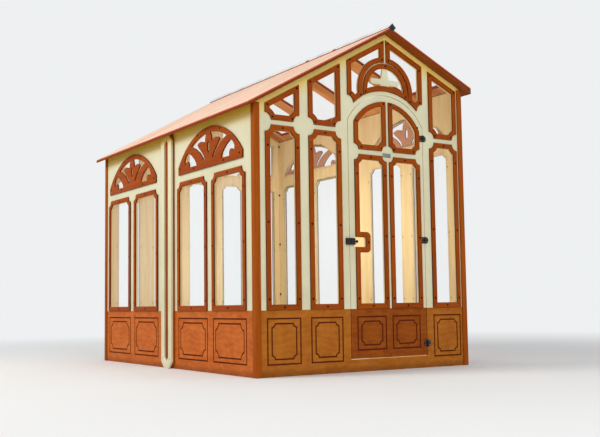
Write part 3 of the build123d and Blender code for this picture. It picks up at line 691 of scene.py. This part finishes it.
dress_frames("front_window_frames", "front_frames", FRONT, frame_stain)
dress_frames("gable_window_frames", "gable_light_frames", FRONT, frame_stain)
dress_frames("door_window_frames", "door_frames", FRONT, frame_stain, "door")
dress_frames("back_window_frames", "back_frames", BACK, frame_stain)
dress_frames("left_window_frames", "left_frames", LEFT, side_stain)
dress_frames("right_window_frames", "right_frames", RIGHT, side_stain)
dress_frames("left_carved_lights", "left_fanlights", LEFT, side_stain)
dress_frames("right_carved_lights", "right_fanlights", RIGHT, side_stain)


def dress_solid(name, node, material, slot, width, body="root"):
    """Replace a node with the same solid, its edges eased."""
    whole = bmesh.new()
    for part in loose_parts(node):
        rounded(part, width)
        merge(whole, part)
    return piece(name, whole, material, body, slot, node)


for side, cream in (("left", left_cream), ("right", right_cream)):
    dress_solid(f"{side}_slotted_cover", f"{side}_joint_cover", cream, "cream_paint", 0.0025)
    dress_solid(f"{side}_cover_board", f"{side}_joint_board", trim_stain, "brown_stain", 0.0015)
    for end in ("front", "back"):
        trim = f"corner_trim_{end}_{side}"
        dress_solid(f"{end}_{side}_corner_angle", trim, trim_stain, "brown_stain", 0.0030)
dress_solid("ridge_cap", "ridge_bar", ridge_grey, "bare_metal", 0.004)


def at_eave(edge):
    """True for the long outer edges of the roof, along the eaves."""
    one, other = (v.co for v in edge.verts)
    return min(abs(one.x), abs(other.x)) > HALF_WIDTH + 0.05 and abs(one.y - other.y) > HALF_LENGTH


def dress_roof(name, node):
    """Replace a roof sheet with one that has well rounded eaves and lightly eased other edges."""
    whole = bmesh.new()
    for part in loose_parts(node):
        eased(part, [e for e in part.edges if at_eave(e)], EAVE_ROUND, 4)
        rounded(part, 0.0012)
        merge(whole, part)
    return piece(name, whole, roof_stain, "root", "roof_stain", node)


for side in ("left", "right"):
    dress_roof(f"{side}_roof_sheet", f"roof_{side}")
dress_solid("bare_door_plate", "door_plate", plate_grey, "grey_plate", 0.0010, "door")


# Screws. A profile is radius and height from the foot up; the head's is in shares of its radius and rise

HEAD_PROFILE = ((0.9, -0.3), (1, 0), (0.97, 0.45), (0.8, 0.85), (0.5, 1), (0.36, 0.98), (0.3, 0.35), (0, 0.3))
END_PROFILE = ((0.0050, -0.0010), (0.0050, 0.0022), (0.0032, 0.0040), (0, 0.0048))


def turned(profile, sides):
    """Solid of revolution about +Z from (radius, height) points, bottom first."""
    made = bmesh.new()
    rings = []
    for radius, height in profile:
        turns = [2 * pi * k / sides for k in range(sides if radius else 1)]
        rings.append([made.verts.new((radius * cos(turn), radius * sin(turn), height)) for turn in turns])
    for low, high in zip(rings, rings[1:]):
        for k in range(sides):
            corners = [ring[j % len(ring)] for ring, j in ((low, k), (low, k + 1), (high, k + 1), (high, k))]
            made.faces.new(list(dict.fromkeys(corners)))
    made.faces.new(rings[0][::-1])
    made.normal_update()
    return made


def stood(part, point, direction):
    """Stand a part that was made along +Z at a point, looking in a direction."""
    turn = direction.to_track_quat("Z", "Y").to_matrix().to_4x4()
    bmesh.ops.transform(part, matrix=Matrix.Translation(point) @ turn, verts=part.verts[:])
    return part


def screw_head(radius, rise, point, out):
    """Round head with a small recess, seated a little into the wood."""
    return stood(turned([(radius * a, rise * b) for a, b in HEAD_PROFILE], SCREW_SIDES), point, out)


def screws(name, wall, places, out, body, slot, material, radius=SCREW_RADIUS, rise=SCREW_RISE):
    """Heads of a row of screws, given as distances along a wall and heights."""
    whole = bmesh.new()
    for s, z in places:
        merge(whole, screw_head(radius, rise, wall.place(s, z, out), wall.out))
    return piece(name, whole, material, body, slot, smooth=40)


def screw_ends(name, wall, places, body):
    """Blunt ends of the frame screws, where they come through to the inner face of the sheets."""
    whole = bmesh.new()
    for s, z in places:
        merge(whole, stood(turned(END_PROFILE, 8), wall.place(s, z, -SKIN), -wall.out))
    return piece(name, whole, screw_black, body, "black_metal", smooth=40)


def frame_screws(name, wall, places, body="root", blind=()):
    """Screws of the frames on a wall; the blind ones don't come through."""
    heads = places + list(blind)
    screws(f"{name}_frame_screws", wall, heads, FRAME_THICK, body, "black_metal", screw_black)
    screw_ends(f"{name}_screw_ends", wall, places, body)


def tall_screws(box):
    """Screws of a tall frame: head, three down each stile, and rail."""
    s0, s1, z0, z1 = box
    half = STRIP / 2
    heights = (z1 - STILE_TOP, z0 + (z1 - z0) * STILE_MIDDLE, z0 + STILE_FOOT)
    middle = (s0 + s1) / 2
    stiles = [(s, z) for s in (s0 + half, s1 - half) for z in heights]
    return [(middle, z1 - half), (middle, z0 + half)] + stiles


def frame_boxes(node, wall):
    """Box of each frame of a node, from the left of the wall."""
    boxes = []
    for part in loose_parts(node):
        boxes.append(limits(part, wall))
        part.free()
    return sorted(boxes)


def gable_top(s):
    """Height of the gable wall's top at a distance from its left corner."""
    if s < RIDGE_S:
        return LEFT_EAVE + LEFT_SLOPE * s
    return RIGHT_EAVE + RIGHT_SLOPE * (2 * HALF_WIDTH - s)


def upper_screws(box, height_at):
    """Screws of a shaped upper frame: one near each corner."""
    s0, s1, z0, _ = box
    tops = height_at(s0), height_at(s1)
    drops = [LOW_DROP if top == min(tops) else HIGH_DROP for top in tops]
    foot = z0 + UPPER_INSET
    return [(s0 + UPPER_INSET, tops[0] - drops[0]), (s1 - UPPER_INSET, tops[1] - drops[1]),
            (s0 + FOOT_INSET, foot), (s1 - FOOT_INSET, foot)]


def gable_screws(node, wall, height_at):
    """Screws of the windows and upper lights of a gable."""
    places = []
    for box in frame_boxes(node, wall):
        places += tall_screws(box) if is_tall(box) else upper_screws(box, height_at)
    return places


def quarter_screws(box):
    """Screws of a quarter-round light of the door: two by its inner edge and two by its outer edge."""
    s0, s1, z0, z1 = box
    inner, outer, inward = (s1, s0, 1) if (s0 + s1) / 2 < RIDGE_S else (s0, s1, -1)
    return [(inner - inward * 0.022, z1 - 0.019), (inner - inward * 0.052, z0 + 0.020),
            (outer + inward * 0.070, z0 + 0.020), (outer + inward * 0.022, z0 + 0.232)]


front_places = gable_screws("front_frames", FRONT, gable_top)
front_places += [(RIDGE_S + side * ds, z) for side in (-1, 1) for ds, z in CROWN_SCREWS]
front_places.append((RIDGE_S, CROWN_FOOT))
frame_screws("front", FRONT, front_places)
frame_screws("back", BACK, gable_screws("back_frames", BACK, lambda s: gable_top(2 * HALF_WIDTH - s)))

LATCH_LOW, LATCH_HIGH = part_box("latch_box")
LATCH_Z = (LATCH_LOW.z + LATCH_HIGH.z) / 2
LATCH_S = LATCH_LOW.x + HALF_WIDTH
door_places = []
for box in frame_boxes("door_frames", FRONT):
    door_places += tall_screws(box) if is_tall(box) else quarter_screws(box)
free_places = [(s, z) for s, z in door_places
               if abs(z - LATCH_Z) >= LATCH_CLEAR_Z or s >= LATCH_S + LATCH_CLEAR_S]
latch_screw = (LATCH_S + LATCH_SCREW_S, LATCH_Z + LATCH_SCREW_Z)
frame_screws("door", FRONT, free_places, "door", [latch_screw])

for side, wall in (("left", LEFT), ("right", RIGHT)):
    places = []
    for box in frame_boxes(f"{side}_frames", wall):
        places += tall_screws(box)
    for s0, s1, z0, z1 in frame_boxes(f"{side}_fanlights", wall):
        middle = (s0 + s1) / 2
        half = (s1 - s0) / 2
        places += [(middle + f * half, z0 + t * (z1 - z0)) for f, t in CARVED_SCREWS]
    frame_screws(side, wall, places)
    low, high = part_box(f"{side}_joint_cover")
    centre = (wall.flat(low)[0] + wall.flat(high)[0]) / 2
    proud = max(wall.flat(low)[2], wall.flat(high)[2])
    heights = (COVER_SCREW_FOOT, high.z - COVER_SCREW_TOP)
    cover = [(centre + ds, z) for ds in (-COVER_SCREW_SIDE, COVER_SCREW_SIDE) for z in heights]
    screws(f"{side}_cover_screws", wall, cover, proud, "root", "bare_metal", zinc, 0.0052, 0.0018)


# Hinges, latch and small fittings

KNUCKLE_RADIUS = 0.007
HINGE_LOW, HINGE_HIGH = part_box("hinge_leaves_wall")
HINGE_AXIS = HINGE_LOW.x + KNUCKLE_RADIUS + HALF_WIDTH
HINGE_HALF = 0.027
HINGE_REACH = 0.037
HINGE_HEIGHTS = (HINGE_LOW.z + HINGE_HALF, 1.070, HINGE_HIGH.z - HINGE_HALF)
HINGE_SCREW_S, HINGE_SCREW_Z = 0.021, 0.014
LEAF_THICK = 0.004
LEAF_NEAR = 0.004
PIN_OUT = 0.013
# Each side's sign, name, body, the thirds of a barrel that it carries, and its corner radius on each hinge
HINGES = ((1, "wall", "root", (0, 2), (0.0262, 0.0240, 0.0240)),
          (-1, "door", "door", (1,), (0.0262, 0.0070, 0.0070)))
# A barrel's curl as distance from the axis and distance out; pin and knob as radius and height
CURL = ((0.0115, 0.0004), (0.0115, 0.0040), (0.0085, 0.0062), (0.0066, 0.0100), (0.0066, 0.0150),
        (0.0010, 0.0130), (0.0022, 0.0060), (0.0052, 0.0004))
PIN_PROFILE = ((0.0043, 0), (0.0040, 0.0010), (0.0026, 0.0018), (0, 0.0021))
KNOB_PROFILE = ((0.0085, 0), (0.0085, 0.0020), (0.0060, 0.0034), (0.0050, 0.0060), (0.0056, 0.0085),
                (0.0090, 0.0105), (0.0114, 0.0140), (0.0120, 0.0185), (0.0116, 0.0230), (0.0098, 0.0272),
                (0.0066, 0.0302), (0.0030, 0.0316), (0, 0.0319))
CASE_WIDTH = 0.041
RIB_RISE = 0.0032


def skinned(shape, ends):
    """Close a prism between two like outlines."""
    shape.faces.new(ends[1])
    shape.faces.new(ends[0][::-1])
    for k in range(len(ends[0])):
        j = (k + 1) % len(ends[0])
        shape.faces.new((ends[0][k], ends[0][j], ends[1][j], ends[1][k]))
    bmesh.ops.recalc_face_normals(shape, faces=shape.faces[:])
    return shape


def extruded(points, wall, low, high):
    """Flat shape, given as distances along a wall and heights, standing between two distances from it."""
    shape = bmesh.new()
    ends = [[shape.verts.new(wall.place(s, z, out)) for s, z in points] for out in (low, high)]
    return skinned(shape, ends)


def profiled(points, ends, upright):
    """Section, given as pairs of (across, out), run along the front wall or up it between two places."""
    shape = bmesh.new()
    places = [[(a, end, out) if upright else (end, a, out) for a, out in points] for end in ends]
    return skinned(shape, [[shape.verts.new(FRONT.place(*spot)) for spot in spots] for spots in places])


def corner_arc(s, z, radius, start, steps=7):
    """Quarter of a circle round a point, from a start angle in degrees."""
    turns = [radians(start + 90 * k / steps) for k in range(steps + 1)]
    return [(s + radius * cos(turn), z + radius * sin(turn)) for turn in turns]


def hinge_leaf(side, height, radius):
    """Flat leaf with rounded outer corners; side is 1 on the wall and -1 on the door."""
    points = [(LEAF_NEAR, -HINGE_HALF)]
    points += corner_arc(HINGE_REACH - radius, -HINGE_HALF + radius, radius, 270)
    points += corner_arc(HINGE_REACH - radius, HINGE_HALF - radius, radius, 0)
    points.append((LEAF_NEAR, HINGE_HALF))
    leaf = extruded([(HINGE_AXIS + side * s, height + z) for s, z in points], FRONT, 0.0, LEAF_THICK)
    rounded(leaf, 0.0009)
    return leaf


def knuckle(side, low, high):
    """Rolled barrel with its curl back to the leaf, held a hair from the next one."""
    low, high = low + 0.0005, high - 0.0005
    made = profiled([(HINGE_AXIS + side * s, out) for s, out in CURL], (low, high), True)
    length = high - low
    mouth, shoulder = KNUCKLE_RADIUS * 0.6, KNUCKLE_RADIUS * 0.93
    barrel = turned([(mouth, 0), (shoulder, 0.0003), (KNUCKLE_RADIUS, 0.0010),
                     (KNUCKLE_RADIUS, length - 0.0010), (shoulder, length - 0.0003),
                     (mouth, length), (0, length)], 24)
    bmesh.ops.translate(barrel, vec=FRONT.place(HINGE_AXIS, low, PIN_OUT), verts=barrel.verts[:])
    merge(made, barrel)
    return made


for side, words, body, bands, corner_radii in HINGES:
    whole = bmesh.new()
    dots = []
    for height, radius in zip(HINGE_HEIGHTS, corner_radii):
        merge(whole, hinge_leaf(side, height, radius))
        third = 2 * HINGE_HALF / 3
        for band in bands:
            low = height - HINGE_HALF + band * third
            merge(whole, knuckle(side, low, low + third))
        for way in (1, -1) if words == "wall" else ():
            tip = FRONT.place(HINGE_AXIS, height + way * HINGE_HALF, PIN_OUT)
            merge(whole, stood(turned(PIN_PROFILE, 16), tip, Vector((0, 0, way))))
        dots += [(HINGE_AXIS + side * HINGE_SCREW_S, height + dz) for dz in (-HINGE_SCREW_Z, HINGE_SCREW_Z)]
    piece(f"{words}_hinge_leaves", whole, black, body, "black_metal", f"hinge_leaves_{words}", smooth=40)
    screws(f"{words}_hinge_screws", FRONT, dots, LEAF_THICK, body, "bare_metal", zinc, 0.0036, 0.0010)


def ribbed_block(s0, s1, z0, z1, depth):
    """Case with three ribs running across its face."""
    pitch = (z1 - z0) / 3
    inset = depth - RIB_RISE
    foot = inset - 0.001
    points = [(z0, 0.0)]
    for k in range(3):
        base = z0 + pitch * k
        points.append((base, inset if k else foot))
        points += [(base + pitch * share, out) for share, out in (
            (0.22, inset), (0.30, depth), (0.74, depth), (0.82, inset))]
    points += [(z1, foot), (z1, 0.0)]
    made = profiled(points, (s0, s1), False)
    rounded(made, 0.0007)
    return made


latch_depth = -LATCH_LOW.y - HALF_LENGTH
case_right = LATCH_S + CASE_WIDTH
case = ribbed_block(LATCH_S, case_right, LATCH_LOW.z, LATCH_HIGH.z, latch_depth)
merge(case, stood(turned(KNOB_PROFILE, 28), FRONT.place(case_right, LATCH_Z, latch_depth / 2), FRONT.along))
piece("door_latch", case, black, "door", "black_metal", "latch_box", smooth=40)
low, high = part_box("latch_keeper")
keeper = ribbed_block(low.x + HALF_WIDTH, high.x + HALF_WIDTH, low.z, high.z, latch_depth)
piece("wall_latch_keeper", keeper, black, "root", "black_metal", "latch_keeper", smooth=40)


# Small cream tabs along the gables' top edge, and black bolts in the inner corners

tabs = bmesh.new()
for wall, mirror in ((FRONT, False), (BACK, True)):
    for middle in TAB_PLACES:
        left, right = middle - TAB_HALF, middle + TAB_HALF
        spots = ((left, TAB_LOW), (right, TAB_LOW), (right, TAB_HIGH), (left, TAB_HIGH))
        placed = [(2 * HALF_WIDTH - s if mirror else s, gable_top(s) + rise) for s, rise in spots]
        tab = extruded(placed, wall, -0.001, 0.003)
        rounded(tab, 0.0006)
        merge(tabs, tab)
piece("gable_finger_tabs", tabs, front_cream, "root", "cream_paint")

bolts = bmesh.new()
for wall, top in ((LEFT, LEFT_EAVE), (RIGHT, RIGHT_EAVE)):
    for s in (SKIN + BOLT_INSET, 2 * HALF_LENGTH - SKIN - BOLT_INSET):
        for z in BOLT_HEIGHTS:
            if z < top - BOLT_CLEAR:
                merge(bolts, screw_head(BOLT_RADIUS, BOLT_RISE, wall.place(s, z, -SKIN), -wall.out))
piece("inner_corner_bolts", bolts, screw_black, "root", "black_metal", smooth=40)


# End plugs and straps of the ridge bar

BAR_LOW, BAR_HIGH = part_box("ridge_bar")
BAR_CENTRE = (BAR_LOW + BAR_HIGH) / 2
BAR_RADIUS = (BAR_HIGH.z - BAR_LOW.z) / 2


def on_corner(radius, y0, y1):
    """Square prism standing on its corner round the ridge bar's line."""
    made = bmesh.new()
    ends = [[made.verts.new((BAR_CENTRE.x + radius * dx, y, BAR_CENTRE.z + radius * dz))
             for dx, dz in ((0, 1), (1, 0), (0, -1), (-1, 0))] for y in (y0, y1)]
    return skinned(made, ends)


plugs = bmesh.new()
for y, sign in ((BAR_LOW.y, -1), (BAR_HIGH.y, 1)):
    plug = on_corner(BAR_RADIUS - 0.0006, y + sign * PLUG_OUT, y - sign * PLUG_IN)
    rounded(plug, 0.0016)
    merge(plugs, plug)
piece("ridge_end_plugs", plugs, black, "root", "black_metal")

straps = bmesh.new()
for y in STRAP_PLACES:
    strap = on_corner(BAR_RADIUS + STRAP_THICK, y - STRAP_HALF, y + STRAP_HALF)
    cut_away(strap, Vector((0, 0, BAR_CENTRE.z - STRAP_BELOW)), Vector((0, 0, -1)))
    cut_away(strap, Vector((0, 0, BAR_CENTRE.z + STRAP_ABOVE)), Vector((0, 0, 1)))
    rounded(strap, 0.0010)
    merge(straps, strap)
piece("ridge_straps", straps, trim_stain, "root", "brown_stain")

bpy.context.view_layer.update()


# Floor, light and camera

BACKDROP = tone(238, 240, 242)
SKY_LIGHT = 0.62
ROOM_LIGHT = (0.99, 0.98, 0.96)
ROOM_LAMP_RADIUS = 0.45
BUILDING_MIDDLE = (0, 0, 1.3)
FLOOR_HALF = 60.0
FADE_START, FADE_END = 3.0, 10.0


def stage_floor():
    """Pale floor that fades into the backdrop far off, so that no horizon shows."""
    data = bpy.data.meshes.new("studio_floor")
    shape = bmesh.new()
    corners = ((-1, -1), (1, -1), (1, 1), (-1, 1))
    shape.faces.new([shape.verts.new((x * FLOOR_HALF, y * FLOOR_HALF, -0.001)) for x, y in corners])
    shape.to_mesh(data)
    shape.free()
    finish = Finish("studio_floor")
    x, y, _ = finish.parts_of(finish.place())
    cloud = finish.noise(finish.place(), 0.4, 3.0)
    colour = finish.mix(cloud, tone(226, 226, 222), tone(232, 231, 227))
    matt = finish.node("BsdfPrincipled", {}, {"Base Color": colour, "Roughness": 0.85})
    glow = finish.node("Emission", {}, {"Color": BACKDROP, "Strength": 1.0})
    far = ((x * x + y * y) ** 0.5).ramp(FADE_START, FADE_END)
    seen = finish.node("LightPath", output=0)
    data.materials.append(finish.close(finish.node("MixShader", {}, {0: far * seen, 1: matt, 2: glow})))
    made = bpy.data.objects.new("studio_floor", data)
    bpy.context.scene.collection.objects.link(made)


def place_lamp(name, data, place, power, colour):
    """Put a lamp into the scene."""
    data.energy = power
    data.color = colour
    made = bpy.data.objects.new(name, data)
    made.location = place
    bpy.context.scene.collection.objects.link(made)
    return made


def wide_lamp(name, place, power, size, colour):
    """Round soft lamp outside, turned to the middle of the building."""
    data = bpy.data.lights.new(name, "AREA")
    data.shape = "DISK"
    data.size = size
    made = place_lamp(name, data, place, power, colour)
    made.rotation_euler = (Vector(BUILDING_MIDDLE) - Vector(place)).to_track_quat("-Z", "Y").to_euler()


def room_lamp(name, place, power):
    """Soft lamp inside the room, itself unseen."""
    data = bpy.data.lights.new(name, "POINT")
    data.shadow_soft_size = ROOM_LAMP_RADIUS
    made = place_lamp(name, data, place, power, ROOM_LIGHT)
    made.visible_camera = False
    made.visible_glossy = False
    made.visible_transmission = False


def studio_world():
    """Cool light from all round, seen as the plain backdrop, also mirrored or through glass."""
    finish = Finish("studio", bpy.data.worlds.new("studio"))
    seen = finish.node("LightPath", output="Is Camera Ray")
    for ray in ("Is Glossy Ray", "Is Transmission Ray"):
        seen = seen.maths("MAXIMUM", seen, finish.node("LightPath", output=ray))
    light = finish.node("Background", {}, {"Color": tone(246, 248, 255), "Strength": SKY_LIGHT})
    view = finish.node("Background", {}, {"Color": BACKDROP, "Strength": 1.0})
    shown = finish.node("MixShader", {}, {0: seen, 1: light, 2: view})
    bpy.context.scene.world = finish.close(shown, "OutputWorld")


# The photo's camera: place in metres, angles in degrees, lens in millimetres
CAMERA_PLACE = (-4.4661, -7.3732, 0.5389)
CAMERA_YAW = 33.103
CAMERA_PITCH = 4.781
CAMERA_ROLL = -0.793
CAMERA_LENS = 54.252
CAMERA_SHIFT_Y = 0.0177


def studio_camera():
    """Camera that sees the building as the photo does."""
    data = bpy.data.cameras.new("photo_camera")
    data.sensor_width = 36.0
    data.lens = CAMERA_LENS
    data.shift_y = CAMERA_SHIFT_Y
    yaw, pitch, roll = radians(CAMERA_YAW), radians(CAMERA_PITCH), radians(CAMERA_ROLL)
    ahead = Vector((sin(yaw) * cos(pitch), cos(yaw) * cos(pitch), sin(pitch)))
    right = Vector((cos(yaw), -sin(yaw), 0))
    up = right.cross(ahead)
    right, up = right * cos(roll) + up * sin(roll), up * cos(roll) - right * sin(roll)
    made = bpy.data.objects.new("photo_camera", data)
    made.matrix_world = Matrix.Translation(CAMERA_PLACE) @ Matrix((right, up, -ahead)).transposed().to_4x4()
    bpy.context.scene.collection.objects.link(made)
    bpy.context.scene.camera = made


stage_floor()
studio_world()
wide_lamp("sun_side", place=(-9.0, 1.5, 7.5), power=630, size=4.0, colour=(1.0, 0.98, 0.95))
wide_lamp("fill_front", place=(-2.0, -11.0, 4.5), power=420, size=6.0, colour=(0.98, 0.98, 1.0))
room_lamp("room_front", place=(0.15, -0.65, 1.35), power=25)
room_lamp("room_back", place=(0.25, 0.35, 1.35), power=23)
studio_camera()
bpy.context.scene.view_settings.view_transform = "Standard"
